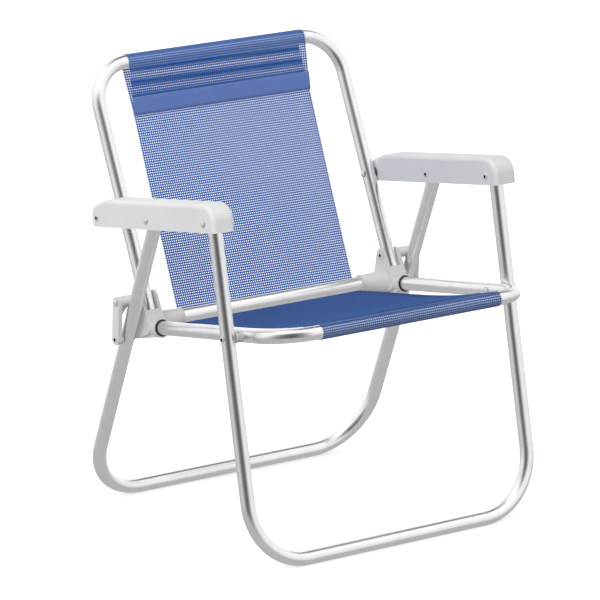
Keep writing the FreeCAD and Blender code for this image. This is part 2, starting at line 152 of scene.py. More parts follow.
# ---- rivets, and on which side their rolled tails are: outside 1, inside -1 ----
RIVET_DARK = (0.76, 0.765, 0.775, 1.0)
RIVET_LIGHT = (0.88, 0.885, 0.895, 1.0)
RIVET_RIM_DARK = (0.42, 0.425, 0.44, 1.0)
RIVET_SHADE = (0.015, 0.015, 0.017, 1.0)
RIVET_RIM = 0.0056
RIVET_HOLE = 0.0024
RIVET_BLEND = 0.0006
RIVET_TAIL_BLEND = 0.0005
RIVET_DRIFT = 240.0
RIVET_ROUGHNESS = (0.24, 0.42)
PIT_SCALE = 1800.0
PIT_BUMP = (0.00005, 0.4)
RIVET_TAILS = {
    "arm_rear_rivets": 1,
    "seat_rivets_outer_half": 1,
    "link_rivets_outer_half": 1,
    "arm_front_rivets": -1,
    "arm_middle_rivets": -1,
    "hinge_rivets": -1,
}

# ---- moulded plastic: its two tones, and its roughness ----
# The left armrest's tones are the right armrest's plastic painted darker: painted shade on the far armrest.
ARMREST_LEFT_SHADED = (((0.75, 0.750, 0.750, 1.0), (0.71, 0.710, 0.710, 1.0)), 0.38)
ARMREST_RIGHT = (((0.83, 0.835, 0.84, 1.0), (0.79, 0.795, 0.80, 1.0)), 0.38)
BRACKET = (((0.74, 0.740, 0.740, 1.0), (0.69, 0.690, 0.690, 1.0)), 0.36)
LINK = (((0.79, 0.795, 0.80, 1.0), (0.74, 0.745, 0.75, 1.0)), 0.36)
SPACER = (((0.68, 0.685, 0.69, 1.0), (0.60, 0.605, 0.61, 1.0)), 0.32)
WASHER = (((0.17, 0.17, 0.175, 1.0), (0.13, 0.13, 0.135, 1.0)), 0.42)
GRAIN_SCALE = 900.0
GRAIN_BUMP = (0.00006, 0.30)
GRAIN_SMOOTHER = 0.05
GRAIN_ROUGHER = 0.07
PLASTIC_DRIFT = 14.0
SPECK_SCALE = 420.0
SPECK_RANGE = (0.70, 0.78)
SPECK_SHARE = 0.12
PLASTIC_SHINE = 0.45
PLASTIC_GLOW = 0.04
PLASTIC_GLOW_DEPTH = 0.002

# ---- shaded inside of the seat tube's socket ----
SEAT_PITCH = math.radians(10.0)
SOCKET_SHADE_OUTER = 0.0139
SOCKET_SHADE_INNER = 0.0133
SOCKET_SHADE = (0.03, 0.03, 0.032, 1.0)
SOCKET_SHADE_DEPTH = 0.012

# ---- sheet. SEAT_HEM_RISE, in wrap radii, is how far the seat's hem ends above the front bar's middle ----
SHEET_THICKNESS = 0.0003
SHEET_LIFT = 0.00045
FLAP_LENGTH = 0.0863
FLAP_GAP = 0.0012
SEAM_SETBACK = 0.010
SHADE_BLEND = 0.03
SLEEVE_SHADE = 0.55
SLEEVE_OPEN_TOP = 0.02
SLEEVE_OPEN_FRONT = 0.09
SEAT_HEM_LENGTH = 0.045
SEAT_HEM_RISE = 0.55
SEAT_SAG = 0.007
BACK_SAG = 0.0008
SAG_PEAK = 1.4
SAG_IN_MIDDLE = 0.35
ROW_STEP = 0.005
COLUMNS = 72
ARC_STEP = math.radians(6.0)

# ---- weave ----
WARP_PITCH = 0.0039
WEFT_PITCH = 0.0039
CORD_RADIUS = 0.0005
CORD_SIDES = 6
CORD_COLUMN_STEP = 8
CORD_PROBE = 0.001

# ---- cloth colours: pairs are two tones that a slow fade mixes ----
# Each seat colour is its back colour painted darker: painted shade on the seat.
WARP_BACK = ((0.026, 0.128, 0.460, 1.0), (0.030, 0.138, 0.490, 1.0))
WARP_SEAT_SHADED = ((0.044, 0.104, 0.305, 1.0), (0.048, 0.111, 0.320, 1.0))
WARP_YARN = (0.060, 0.155, 0.440, 1.0)
WARP_YARN_SHARE = 0.20
EDGE_BACK = (0.11, 0.30, 0.74, 1.0)
EDGE_SEAT_SHADED = (0.06, 0.13, 0.36, 1.0)
EDGE_SHARE = 0.75
WEFT_BACK = ((0.040, 0.160, 0.540, 1.0), (0.046, 0.172, 0.570, 1.0))
WEFT_SEAT_SHADED = (0.052, 0.122, 0.350, 1.0)
WEFT_YARN = (0.08, 0.18, 0.48, 1.0)
WEFT_YARN_SHARE = 0.20
BAND_BLUE = ((0.120, 0.218, 0.560, 1.0), (0.132, 0.235, 0.590, 1.0))
BAND_FIBRE = (0.155, 0.260, 0.620, 1.0)
BAND_FIBRE_SHARE = 0.25
# The groove colour is painted shade in the grooves between the band's ribs.
BAND_GROOVE_SHADE = (0.060, 0.135, 0.400, 1.0)
BAND_GROOVE_SHADE_SHARE = 0.40
THREAD_DARK = (0.045, 0.11, 0.34, 1.0)
THREAD_LIGHT = (0.11, 0.20, 0.50, 1.0)

# ---- cloth grain, and the wave heights between which a gap or a yarn's pale edge fades in ----
WARP_GAP = (0.53, 0.45)
WEFT_GAP = (0.47, 0.39)
WARP_EDGE = (0.62, 0.46)
WEFT_EDGE = (0.60, 0.38)
WARP_HEIGHT = 0.8
YARN_HEIGHT = 0.15
MESH_BUMP = (0.0004, 0.8)
YARN_BUMP = (0.0001, 0.5)
BAND_BUMP = (0.0002, 0.6)
YARN_GRAIN = (2600.0, 420.0, 1.0)
CORD_GRAIN = (900.0, 3200.0, 3200.0)
THREAD_GRAIN = (3000.0, 3000.0, 3000.0)
BAND_GRAIN = 2400.0
BAND_DRIFT = 30.0
CLOTH_DRIFT = 16.0
CLOTH_SHINE = 0.04
CLOTH_ROUGHNESS = (0.52, 0.66)
BAND_ROUGHNESS = (0.60, 0.75)
BAND_SHEEN = 0.15
THREAD_ROUGHNESS = (0.5, 0.7)

# ---- hem band and its stitching ----
BAND_HEIGHT = 0.030
BAND_LIFT = 0.0008
BAND_OVERHANG = 0.0005
BAND_PICK = 0.0011
BAND_RIB_SHARE = 0.6
STITCH_PITCH = 0.0042
STITCH_LENGTH = 0.0030
STITCH_RADIUS = 0.00035
STITCH_SEGMENTS = 6
STITCH_INSET = 0.0022


# ---------------------------------------------------------------- places read from the frame

def corner(node, end):
    """The lowest (0) or highest (1) corner of a CAD node."""
    return Vector(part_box(node)[end])


def joint_place(name):
    """Where a joint's axis crosses the side view."""
    place = next(joint["pos_m"] for joint in frame["joints"] if joint["name"] == name)
    return Vector((place[1], place[2]))


tube_radius = (corner("cross_tube", 1).z - corner("cross_tube", 0).z) / 2.0
cross_middle = (corner("cross_tube", 0) + corner("cross_tube", 1)) / 2.0
cross_centre = Vector((cross_middle.y, cross_middle.z))
back_bar = Vector((corner("back_frame", 1).y - tube_radius, corner("back_frame", 1).z - tube_radius))
seat_bar = Vector((corner("seat_frame", 0).y + tube_radius, corner("seat_frame", 1).z - tube_radius))
hinge = joint_place("seat_fold")
half_width = corner("back_sling", 1).x
seat_lane = corner("seat_frame", 1).x - tube_radius
bracket_front = corner("corner_bracket_left", 0).y


# ---------------------------------------------------------------- side view geometry

def turned(direction):
    """A quarter turn anticlockwise, with y to the right and z up."""
    return Vector((-direction.y, direction.x))


def tangent_point(start, centre, radius, side):
    """Where a line from start touches a circle, left (1) or right (-1) of the way to its centre."""
    along = (centre - start).normalized()
    sine = radius / (centre - start).length
    cosine = math.sqrt(1.0 - sine * sine)
    return centre + (along * -sine + turned(along) * side * cosine) * radius


def arc(centre, start, end, clockwise):
    """Points on a circle from start to end, without the start itself."""
    radius = (start - centre).length
    begin = math.atan2(start.y - centre.y, start.x - centre.x)
    finish = math.atan2(end.y - centre.y, end.x - centre.x)
    sweep = (finish - begin) % (2.0 * math.pi)
    if clockwise:
        sweep -= 2.0 * math.pi
    count = max(2, int(abs(sweep) / ARC_STEP))
    angles = [begin + sweep * (i + 1) / count for i in range(count)]
    return [centre + Vector((math.cos(a), math.sin(a))) * radius for a in angles]


def run(start, end):
    """Evenly spaced points on a straight run, without the start itself."""
    count = max(1, int((end - start).length / ROW_STEP))
    return [start.lerp(end, (i + 1) / count) for i in range(count)]


back_down = (hinge - back_bar).normalized()
back_front = turned(back_down) * -1.0
wrap_radius = tube_radius + SHEET_LIFT + SHEET_THICKNESS / 2.0


def seam_place():
    """The seam where the flap is sewn to the back panel, which hangs straight down from the bar's rear."""
    return back_bar + back_down * FLAP_LENGTH - back_front * SEAM_SETBACK


def crossed_tangent(rear, front):
    """The line that leaves the rear circle underneath and meets the front circle on top."""
    along = (front - rear).normalized()
    sine = 2.0 * wrap_radius / (front - rear).length
    cosine = math.sqrt(1.0 - sine * sine)
    up = turned(along) * -1.0
    normal = up * cosine - along * sine
    return rear - normal * wrap_radius, front + normal * wrap_radius


def sheet_path():
    """The sheet's middle line: flap hem, back bar, down the back, cross tube, seat, seat bar, seat hem.

    Also returns the row numbers where the back panel and the seat panel begin and end, for their sag.
    """
    seam = seam_place()
    flap_hem = seam + back_front * (FLAP_GAP / 2.0)
    panel_top = seam - back_front * (FLAP_GAP / 2.0)
    points = [flap_hem]
    front_touch = tangent_point(flap_hem, back_bar, wrap_radius, 1.0)
    rear_touch = tangent_point(panel_top, back_bar, wrap_radius, -1.0)
    points += run(flap_hem, front_touch)
    points += arc(back_bar, front_touch, rear_touch, clockwise=True)
    points += run(rear_touch, panel_top)
    back_rows = [len(points)]
    cross_touch = tangent_point(panel_top, cross_centre, wrap_radius, 1.0)
    points += run(panel_top, cross_touch)
    back_rows.append(len(points))
    under, over = crossed_tangent(cross_centre, seat_bar)
    points += arc(cross_centre, cross_touch, under, clockwise=True)
    seat_rows = [len(points)]
    points += run(under, over)
    seat_rows.append(len(points))
    seat_back = (cross_centre - seat_bar).normalized()
    hem = seat_bar + seat_back * SEAT_HEM_LENGTH + turned(seat_back) * (wrap_radius * SEAT_HEM_RISE)
    below = tangent_point(hem, seat_bar, wrap_radius, 1.0)
    points += arc(seat_bar, over, below, clockwise=False)
    points += run(below, hem)
    return points, back_rows, seat_rows


# ---------------------------------------------------------------- mesh helpers

def new_object(name, mesh):
    """A linked object for a finished mesh, shaded smooth."""
    obj = bpy.data.objects.new(name, mesh)
    bpy.context.scene.collection.objects.link(obj)
    for face in mesh.polygons:
        face.use_smooth = True
    return obj


def woven_mesh(name, vertices, faces, flat):
    """A mesh whose weave attribute holds each vertex's place on the flat cloth."""
    mesh = bpy.data.meshes.new(name)
    mesh.from_pydata(vertices, [], faces)
    weave = mesh.attributes.new("weave", "FLOAT_VECTOR", "POINT")
    weave.data.foreach_set("vector", np.array(flat, np.float32).ravel())
    mesh.validate()
    return mesh


def sheet_mesh(name, lines, positions, distances):
    """A closed thin sheet. lines[row][column] is a point of its middle in the side view, positions its x."""
    rows = len(lines)
    columns = len(positions)
    grid = np.array([[(x, p.x, p.y) for x, p in zip(positions, line)] for line in lines])
    along = np.gradient(grid, axis=0)
    across = np.gradient(grid, axis=1)
    normal = np.cross(along, across)
    normal /= np.linalg.norm(normal, axis=2)[:, :, None]
    top = grid + normal * SHEET_THICKNESS / 2.0
    bottom = grid - normal * SHEET_THICKNESS / 2.0
    vertices = np.concatenate([top.reshape(-1, 3), bottom.reshape(-1, 3)])
    below = rows * columns
    faces = []
    for r in range(rows - 1):
        for c in range(columns - 1):
            a = r * columns + c
            b = a + columns
            faces.append((a, a + 1, b + 1, b))
            faces.append((below + a, below + b, below + b + 1, below + a + 1))
    rim = list(range(columns))
    rim += [r * columns + columns - 1 for r in range(1, rows)]
    rim += [(rows - 1) * columns + c for c in range(columns - 2, -1, -1)]
    rim += [r * columns for r in range(rows - 2, 0, -1)]
    for a, b in zip(rim, rim[1:] + rim[:1]):
        faces.append((a, below + a, below + b, b))
    flat = [(x, distance, 0.0) for distance in distances for x in positions]
    mesh = woven_mesh(name, [tuple(v) for v in vertices], faces, flat + flat)
    bm = bmesh.new()
    bm.from_mesh(mesh)
    bmesh.ops.recalc_face_normals(bm, faces=bm.faces)
    bm.to_mesh(mesh)
    bm.free()
    return mesh


# ---------------------------------------------------------------- material helpers

class Nodes:
    """A short way to build the node tree of a material or of the world."""

    def __init__(self, owner, output="ShaderNodeOutputMaterial"):
        self.owner = owner
        owner.use_nodes = True
        self.tree = owner.node_tree
        self.tree.nodes.clear()
        self.output = self.add(output)

    def add(self, kind, **settings):
        node = self.tree.nodes.new(kind)
        for key, value in settings.items():
            setattr(node, key, value)
        return node

    def link(self, source, target):
        self.tree.links.new(source, target)

    def feed(self, socket, value):
        """Sets a socket from a number, a colour or another socket."""
        if isinstance(value, bpy.types.NodeSocket):
            self.link(value, socket)
        else:
            socket.default_value = value

    def math(self, operation, a, b=0.0, c=0.0):
        node = self.add("ShaderNodeMath", operation=operation)
        for socket, value in zip(node.inputs, (a, b, c)):
            self.feed(socket, value)
        return node.outputs[0]

    def ramp(self, value, low, high, start=0.0, end=1.0):
        """A smooth change from start to end as value goes from low to high."""
        node = self.add("ShaderNodeMapRange", interpolation_type="SMOOTHSTEP")
        for key, number in (("From Min", low), ("From Max", high), ("To Min", start), ("To Max", end)):
            node.inputs[key].default_value = number
        self.feed(node.inputs["Value"], value)
        return node.outputs["Result"]

    def mix(self, share, first, second):
        node = self.add("ShaderNodeMix", data_type="RGBA")
        self.feed(node.inputs["Factor"], share)
        self.feed(node.inputs["A"], first)
        self.feed(node.inputs["B"], second)
        return node.outputs["Result"]

    def toward(self, level, share, value):
        """The level, moved to the value by the share."""
        return self.math("ADD", level, self.math("MULTIPLY", share, self.math("SUBTRACT", value, level)))

    def position(self):
        """The point in the chair's own frame at rest."""
        return self.add("ShaderNodeTexCoord").outputs["Object"]

    def weave(self):
        """The point's place on the flat cloth."""
        return self.add("ShaderNodeAttribute", attribute_name="weave").outputs["Vector"]

    def split(self, vector):
        """The X, Y and Z of a vector."""
        node = self.add("ShaderNodeSeparateXYZ")
        self.link(vector, node.inputs[0])
        return node.outputs

    def component(self, vector, direction):
        """How far a vector goes in a direction."""
        node = self.add("ShaderNodeVectorMath", operation="DOT_PRODUCT")
        self.link(vector, node.inputs[0])
        node.inputs[1].default_value = direction
        return node.outputs["Value"]

    def distance(self, first, second):
        """The distance from an axis, by the offsets in the two directions across it."""
        squares = [self.math("MULTIPLY", offset, offset) for offset in (first, second)]
        return self.math("SQRT", self.math("ADD", *squares))

    def scaled(self, vector, scale):
        node = self.add("ShaderNodeMapping")
        node.inputs["Scale"].default_value = scale
        self.link(vector, node.inputs["Vector"])
        return node.outputs["Vector"]

    def pitched(self, vector, angle):
        """The vector turned about X."""
        node = self.add("ShaderNodeMapping")
        node.inputs["Rotation"].default_value = (angle, 0.0, 0.0)
        self.link(vector, node.inputs["Vector"])
        return node.outputs["Vector"]

    def noise(self, vector, scale, detail=SLOW_NOISE[0], roughness=SLOW_NOISE[1]):
        node = self.add("ShaderNodeTexNoise")
        node.inputs["Scale"].default_value = scale
        node.inputs["Detail"].default_value = detail
        node.inputs["Roughness"].default_value = roughness
        self.link(vector, node.inputs["Vector"])
        return node.outputs["Fac"]

    def drift(self, vector, scale, tones, detail=SLOW_NOISE[0], roughness=SLOW_NOISE[1]):
        """A slow drift between two tones."""
        share = self.ramp(self.noise(vector, scale, detail, roughness), *TONE_RANGE)
        return self.mix(share, *tones)

    def bump(self, height, distance, strength):
        """A relief of up to a distance, at a strength."""
        node = self.add("ShaderNodeBump")
        node.inputs["Strength"].default_value = strength
        node.inputs["Distance"].default_value = distance
        self.link(height, node.inputs["Height"])
        return node.outputs["Normal"]

    def shader(self, **inputs):
        """The one shader, with its sockets set by name, spaces written as underscores."""
        node = self.add("ShaderNodeBsdfPrincipled")
        for key, value in inputs.items():
            self.feed(node.inputs[key.replace("_", " ")], value)
        self.link(node.outputs[0], self.output.inputs["Surface"])
        return self.owner


def material_nodes(name):
    """An empty node tree for a new material."""
    return Nodes(bpy.data.materials.new(name))


def paint(node, material):
    """Gives a CAD node its finished material."""
    obj = frame["nodes"][node]
    obj.data.materials.clear()
    obj.data.materials.append(material)
    for face in obj.data.polygons:
        face.material_index = 0


# ---------------------------------------------------------------- materials

def draw_lines(n, vector, scale):
    """The fine lines that drawing leaves along a tube."""
    return n.noise(n.scaled(vector, scale), 1.0, *FINE_NOISE)


def blotched_metal(n, place):
    """Anodised metal's faint blotches."""
    return n.drift(place, METAL_BLOTCH, (METAL_DARK, METAL_LIGHT), *BLOTCH_NOISE)


def tube_metal(name, crossbar, leg_way, bend, covered=False):
    """Anodised tube: fine draw lines along the legs and along the crossbar, faint blotches and scuffs.

    covered paints shade, tinted blue, on the crossbar where the cloth wraps it.
    """
    n = material_nodes(name)
    place = n.position()
    across, rearward, up = n.split(place)
    pitch = math.atan2(leg_way.y, leg_way.x)
    leg_lines = draw_lines(n, n.pitched(place, -pitch), LEG_LINES)
    bar_lines = draw_lines(n, place, BAR_LINES)
    along_leg = n.math(
        "ADD",
        n.math("MULTIPLY", n.math("SUBTRACT", rearward, crossbar.x), leg_way.x),
        n.math("MULTIPLY", n.math("SUBTRACT", up, crossbar.y), leg_way.y),
    )
    on_leg = n.ramp(along_leg, *[bend * share for share in LINES_TURN])
    lines = n.toward(bar_lines, on_leg, leg_lines)
    scuff = n.ramp(n.noise(place, SCUFF_SCALE, *SCUFF_NOISE), *SCUFF_RANGE)
    colour = n.mix(n.math("MULTIPLY", scuff, SCUFF_SHARE), blotched_metal(n, place), METAL_SCUFF)
    if covered:
        # Painted shade, tinted blue, where the cloth wraps the crossbar.
        under = n.ramp(n.math("ABSOLUTE", across), half_width, half_width - COVER_BLEND)
        colour = n.mix(under, colour, METAL_UNDER_CLOTH_SHADE)
    roughness = n.ramp(lines, *LINE_RANGE, *METAL_ROUGHNESS)
    roughness = n.math("ADD", roughness, n.math("MULTIPLY", scuff, SCUFF_ROUGHNESS))
    normal = n.bump(lines, *LINE_BUMP)
    return n.shader(Base_Color=colour, Metallic=1.0, Roughness=roughness, Normal=normal)


def straight_metal(name):
    """The cross tube's metal, drawn along x."""
    n = material_nodes(name)
    place = n.position()
    lines = draw_lines(n, place, BAR_LINES)
    roughness = n.ramp(lines, *LINE_RANGE, *METAL_ROUGHNESS)
    normal = n.bump(lines, *LINE_BUMP)
    return n.shader(Base_Color=blotched_metal(n, place), Metallic=1.0, Roughness=roughness, Normal=normal)


def rivet_metal(node, tail):
    """Bare rivets, finely pitted, darker past the rim, with painted shade in the tail's hole.

    tail is 1 for tails on the chair's outside, -1 for tails on its inside and 0 for no tails.
    """
    n = material_nodes(node + "_metal")
    place = n.position()
    across, rearward, up = n.split(place)
    axis = (corner(node, 0) + corner(node, 1)) / 2.0
    reach = n.distance(n.math("SUBTRACT", rearward, axis.y), n.math("SUBTRACT", up, axis.z))
    sides = [abs(vertex.co.x) for vertex in frame["nodes"][node].data.vertices]
    middle = (min(sides) + max(sides)) / 2.0
    past_middle = n.math("MULTIPLY", n.math("SUBTRACT", n.math("ABSOLUTE", across), middle), tail)
    in_tail = n.ramp(past_middle, 0.0, RIVET_TAIL_BLEND)
    in_hole = n.math("MULTIPLY", in_tail, n.ramp(reach, RIVET_HOLE + RIVET_BLEND, RIVET_HOLE))
    pits = n.noise(place, PIT_SCALE, *FINE_NOISE)
    colour = n.drift(place, RIVET_DRIFT, (RIVET_DARK, RIVET_LIGHT))
    # Darker past the rim radius.
    colour = n.mix(n.ramp(reach, RIVET_RIM - RIVET_BLEND, RIVET_RIM), colour, RIVET_RIM_DARK)
    # Painted shade in the hole of each rolled tail.
    colour = n.mix(in_hole, colour, RIVET_SHADE)
    roughness = n.ramp(pits, *FINE_RANGE, *RIVET_ROUGHNESS)
    return n.shader(
        Base_Color=colour,
        Metallic=1.0,
        Roughness=roughness,
        Normal=n.bump(pits, *PIT_BUMP),
    )


def moulded(name, tones, roughness, shade=None):
    """Moulded plastic: fine spark grain, slow tone drift, slight shine. shade may darken a part of it."""
    n = material_nodes(name)
    place = n.position()
    grain = n.noise(place, GRAIN_SCALE, *FINE_NOISE)
    speck = n.ramp(n.noise(place, SPECK_SCALE), *SPECK_RANGE)
    colour = n.drift(place, PLASTIC_DRIFT, tones)
    colour = n.mix(n.math("MULTIPLY", speck, SPECK_SHARE), colour, tones[1])
    if shade is not None:
        colour = shade(n, place, colour)
    return n.shader(
        Base_Color=colour,
        Roughness=n.ramp(grain, *LINE_RANGE, roughness - GRAIN_SMOOTHER, roughness + GRAIN_ROUGHER),
        Specular_IOR_Level=PLASTIC_SHINE,
        Subsurface_Weight=PLASTIC_GLOW,
        Subsurface_Scale=PLASTIC_GLOW_DEPTH,
        Normal=n.bump(grain, *GRAIN_BUMP),
    )


def socket_shade(n, place, colour):
    """Painted shade down in the corner brackets' sockets, round the seat tube."""
    across, rearward, up = n.split(place)
    aside = n.math("SUBTRACT", n.math("ABSOLUTE", across), seat_lane)
    above = n.math("MULTIPLY", n.math("SUBTRACT", up, seat_bar.y), math.cos(SEAT_PITCH))
    above = n.math("MULTIPLY_ADD", n.math("SUBTRACT", rearward, seat_bar.x), math.sin(SEAT_PITCH), above)
    in_ring = n.ramp(n.distance(aside, above), SOCKET_SHADE_OUTER, SOCKET_SHADE_INNER)
    shade_end = bracket_front + SOCKET_SHADE_DEPTH
    near_mouth = n.ramp(rearward, shade_end + SOCKET_SHADE_DEPTH, shade_end)
    return n.mix(n.math("MULTIPLY", near_mouth, in_ring), colour, SOCKET_SHADE)


def wave(n, value, pitch):
    """A cosine from 0 to 1 that repeats each pitch, 1 at the middle of a yarn."""
    turn = n.math("MULTIPLY", value, 2.0 * math.pi / pitch)
    return n.math("MULTIPLY_ADD", n.math("COSINE", turn), 0.5, 0.5)


def seat_share(n, along, seat_from):
    """0 on the back, 1 on the seat: the share of painted shade on the seat."""
    return n.ramp(along, seat_from - SHADE_BLEND, seat_from + SHADE_BLEND)


def mesh_cloth(seat_from, front_from):
    """Coated mesh: blue warp yarns with paler edges, and a see-through hole in each cell.

    Painted shade makes it a deeper blue on the seat, and in part on the sleeve over the back bar, and its
    holes are wider round the bars. The seat begins at the distance seat_from along the cloth, and the front
    bar at front_from.
    """
    n = material_nodes("mesh_cloth")
    weave = n.weave()
    across, along, _ = n.split(weave)
    warp = wave(n, across, WARP_PITCH)
    weft = wave(n, along, WEFT_PITCH)
    on_seat = seat_share(n, along, seat_from)
    sleeve_end = FLAP_LENGTH + 2.0 * wrap_radius
    in_sleeve = n.ramp(along, sleeve_end + SHADE_BLEND / 2.0, sleeve_end)
    in_front = n.ramp(along, front_from - SHADE_BLEND / 2.0, front_from)
    spread = n.math("MULTIPLY", in_sleeve, SLEEVE_OPEN_TOP)
    spread = n.math("MULTIPLY_ADD", in_front, SLEEVE_OPEN_FRONT, spread)
    warp_gap = n.ramp(n.math("SUBTRACT", warp, spread), *WARP_GAP)
    weft_gap = n.ramp(n.math("SUBTRACT", weft, spread), *WEFT_GAP)
    hole = n.math("MULTIPLY", warp_gap, weft_gap)
    yarn = n.noise(n.scaled(weave, YARN_GRAIN), 1.0, *YARN_NOISE)
    fade = n.ramp(n.noise(weave, CLOTH_DRIFT), *TONE_RANGE)
    # Painted shade: the seat, and the sleeve in part, take the darker copies of the warp colours.
    seat_and_sleeve_shade = n.math("MAXIMUM", on_seat, n.math("MULTIPLY", in_sleeve, SLEEVE_SHADE))
    blue = n.mix(seat_and_sleeve_shade, n.mix(fade, *WARP_BACK), n.mix(fade, *WARP_SEAT_SHADED))
    blue = n.mix(n.math("MULTIPLY", yarn, WARP_YARN_SHARE), blue, WARP_YARN)
    edge = n.math("MULTIPLY", n.ramp(warp, *WARP_EDGE), n.ramp(weft, *WEFT_EDGE))
    # Painted shade: the yarns' paler edges are darker on the seat.
    blue = n.mix(n.math("MULTIPLY", edge, EDGE_SHARE), blue, n.mix(on_seat, EDGE_BACK, EDGE_SEAT_SHADED))
    height = n.math("MAXIMUM", n.math("MULTIPLY", warp, WARP_HEIGHT), weft)
    height = n.math("ADD", height, n.math("MULTIPLY", yarn, YARN_HEIGHT))
    return n.shader(
        Base_Color=blue,
        Roughness=n.ramp(yarn, *FINE_RANGE, *CLOTH_ROUGHNESS),
        Alpha=n.math("SUBTRACT", 1.0, hole),
        Specular_IOR_Level=CLOTH_SHINE,
        Normal=n.bump(height, *MESH_BUMP),
    )


def cord_cloth(seat_from):
    """The weft cords' coating, a little paler than the warp, and painted darker with shade on the seat."""
    n = material_nodes("cord_cloth")
    place = n.position()
    _, along, _ = n.split(n.weave())
    on_seat = seat_share(n, along, seat_from)
    twist = n.noise(n.scaled(place, CORD_GRAIN), 1.0, *YARN_NOISE)
    # Painted shade: the cords are darker on the seat.
    colour = n.mix(on_seat, n.drift(place, CLOTH_DRIFT, WEFT_BACK), WEFT_SEAT_SHADED)
    colour = n.mix(n.math("MULTIPLY", twist, WEFT_YARN_SHARE), colour, WEFT_YARN)
    return n.shader(
        Base_Color=colour,
        Roughness=n.ramp(twist, *FINE_RANGE, *CLOTH_ROUGHNESS),
        Specular_IOR_Level=CLOTH_SHINE,
        Normal=n.bump(twist, *YARN_BUMP),
    )


def band_cloth():
    """The hem band's webbing, with fine ribs along it and painted shade in the grooves between them."""
    n = material_nodes("band_cloth")
    weave = n.weave()
    across, along, _ = n.split(weave)
    rib = wave(n, along, WEFT_PITCH)
    pick = wave(n, across, BAND_PICK)
    fibre = n.noise(weave, BAND_GRAIN, *YARN_NOISE)
    colour = n.drift(weave, BAND_DRIFT, BAND_BLUE)
    colour = n.mix(n.math("MULTIPLY", fibre, BAND_FIBRE_SHARE), colour, BAND_FIBRE)
    # Painted shade in the grooves between the ribs.
    groove_shade = n.math("MULTIPLY_ADD", rib, -BAND_GROOVE_SHADE_SHARE, BAND_GROOVE_SHADE_SHARE)
    colour = n.mix(groove_shade, colour, BAND_GROOVE_SHADE)
    height = n.toward(pick, BAND_RIB_SHARE, rib)
    return n.shader(
        Base_Color=colour,
        Roughness=n.ramp(fibre, *FINE_RANGE, *BAND_ROUGHNESS),
        Sheen_Weight=BAND_SHEEN,
        Normal=n.bump(height, *BAND_BUMP),
    )


def thread_cloth():
    """Blue sewing thread, twisted."""
    n = material_nodes("thread_cloth")
    twist = n.noise(n.scaled(n.position(), THREAD_GRAIN), 1.0)
    return n.shader(
        Base_Color=n.mix(twist, THREAD_DARK, THREAD_LIGHT),
        Roughness=n.ramp(twist, *FINE_RANGE, *THREAD_ROUGHNESS),
        Normal=n.bump(twist, *YARN_BUMP),
    )


# ---------------------------------------------------------------- pieces

def path_distances(points):
    """How far along the cloth each row lies."""
    total = [0.0]
    for a, b in zip(points, points[1:]):
        total.append(total[-1] + (b - a).length)
    return total


def column_places():
    """The x of each column of a sheet, from side to side."""
    return [half_width * (2.0 * c / (COLUMNS - 1) - 1.0) for c in range(COLUMNS)]


def sagged(points, rows, depth, peak, positions):
    """The rows of one panel, let down between its bars, and a little more in the middle of its width."""
    first, last = rows
    lines = {}
    direction = turned((points[last - 1] - points[first]).normalized())
    if direction.y > 0.0:
        direction = direction * -1.0
    widths = [1.0 + SAG_IN_MIDDLE * math.cos(math.pi * x / (2.0 * half_width)) for x in positions]
    for row in range(first, last):
        share = (row - first) / (last - first)
        drop = depth * math.sin(math.pi * share ** peak)
        lines[row] = [points[row] + direction * drop * width for width in widths]
    return lines


def make_sling():
    """The mesh sheet with its cords. Also returns the sheet's flat length."""
    points, back_rows, seat_rows = sheet_path()
    positions = column_places()
    lines = [[p] * COLUMNS for p in points]
    for rows, depth, peak in ((back_rows, BACK_SAG, 1.0), (seat_rows, SEAT_SAG, SAG_PEAK)):
        for row, line in sagged(points, rows, depth, peak, positions).items():
            lines[row] = line
    distances = path_distances(points)
    seat_from, front_from = [distances[row] for row in seat_rows]
    mesh = sheet_mesh("sling", lines, positions, distances)
    sling = new_object("sling", mesh)
    mesh.materials.append(mesh_cloth(seat_from, front_from))
    cords = make_cords(lines, positions, distances, seat_from)
    return sling, cords, distances[-1]


def point_along(row, distances, distance):
    """The side view point at a distance along one column of the sheet."""
    return Vector([np.interp(distance, distances, row[:, axis]) for axis in (0, 1)])


def make_cords(lines, positions, distances, seat_from):
    """The weft cords: a round cord through the sheet at every pitch, from side to side."""
    columns = list(range(0, COLUMNS, CORD_COLUMN_STEP)) + [COLUMNS - 1]
    across = np.array([positions[c] for c in columns])
    rows = [np.array([[line[c].x, line[c].y] for line in lines]) for c in columns]
    turns = [2.0 * math.pi * i / CORD_SIDES for i in range(CORD_SIDES)]
    vertices = []
    faces = []
    flat = []
    for k in range(1, int(distances[-1] / WEFT_PITCH)):
        first = len(vertices)
        distance = k * WEFT_PITCH
        for x, row in zip(across, rows):
            centre = point_along(row, distances, distance)
            along = (point_along(row, distances, distance + CORD_PROBE) - centre).normalized()
            for turn in turns:
                place = centre + (along * math.cos(turn) + turned(along) * math.sin(turn)) * CORD_RADIUS
                vertices.append((x, place.x, place.y))
                flat.append((x, distance, 0.0))
        for c in range(len(columns) - 1):
            for i in range(CORD_SIDES):
                a = first + c * CORD_SIDES + i
                b = first + c * CORD_SIDES + (i + 1) % CORD_SIDES
                faces.append((a, b, b + CORD_SIDES, a + CORD_SIDES))
        faces.append(tuple(first + i for i in reversed(range(CORD_SIDES))))
        faces.append(tuple(first + (len(columns) - 1) * CORD_SIDES + i for i in range(CORD_SIDES)))
    mesh = woven_mesh("weft_cords", vertices, faces, flat)
    cords = new_object("weft_cords", mesh)
    mesh.materials.append(cord_cloth(seat_from))
    return cords


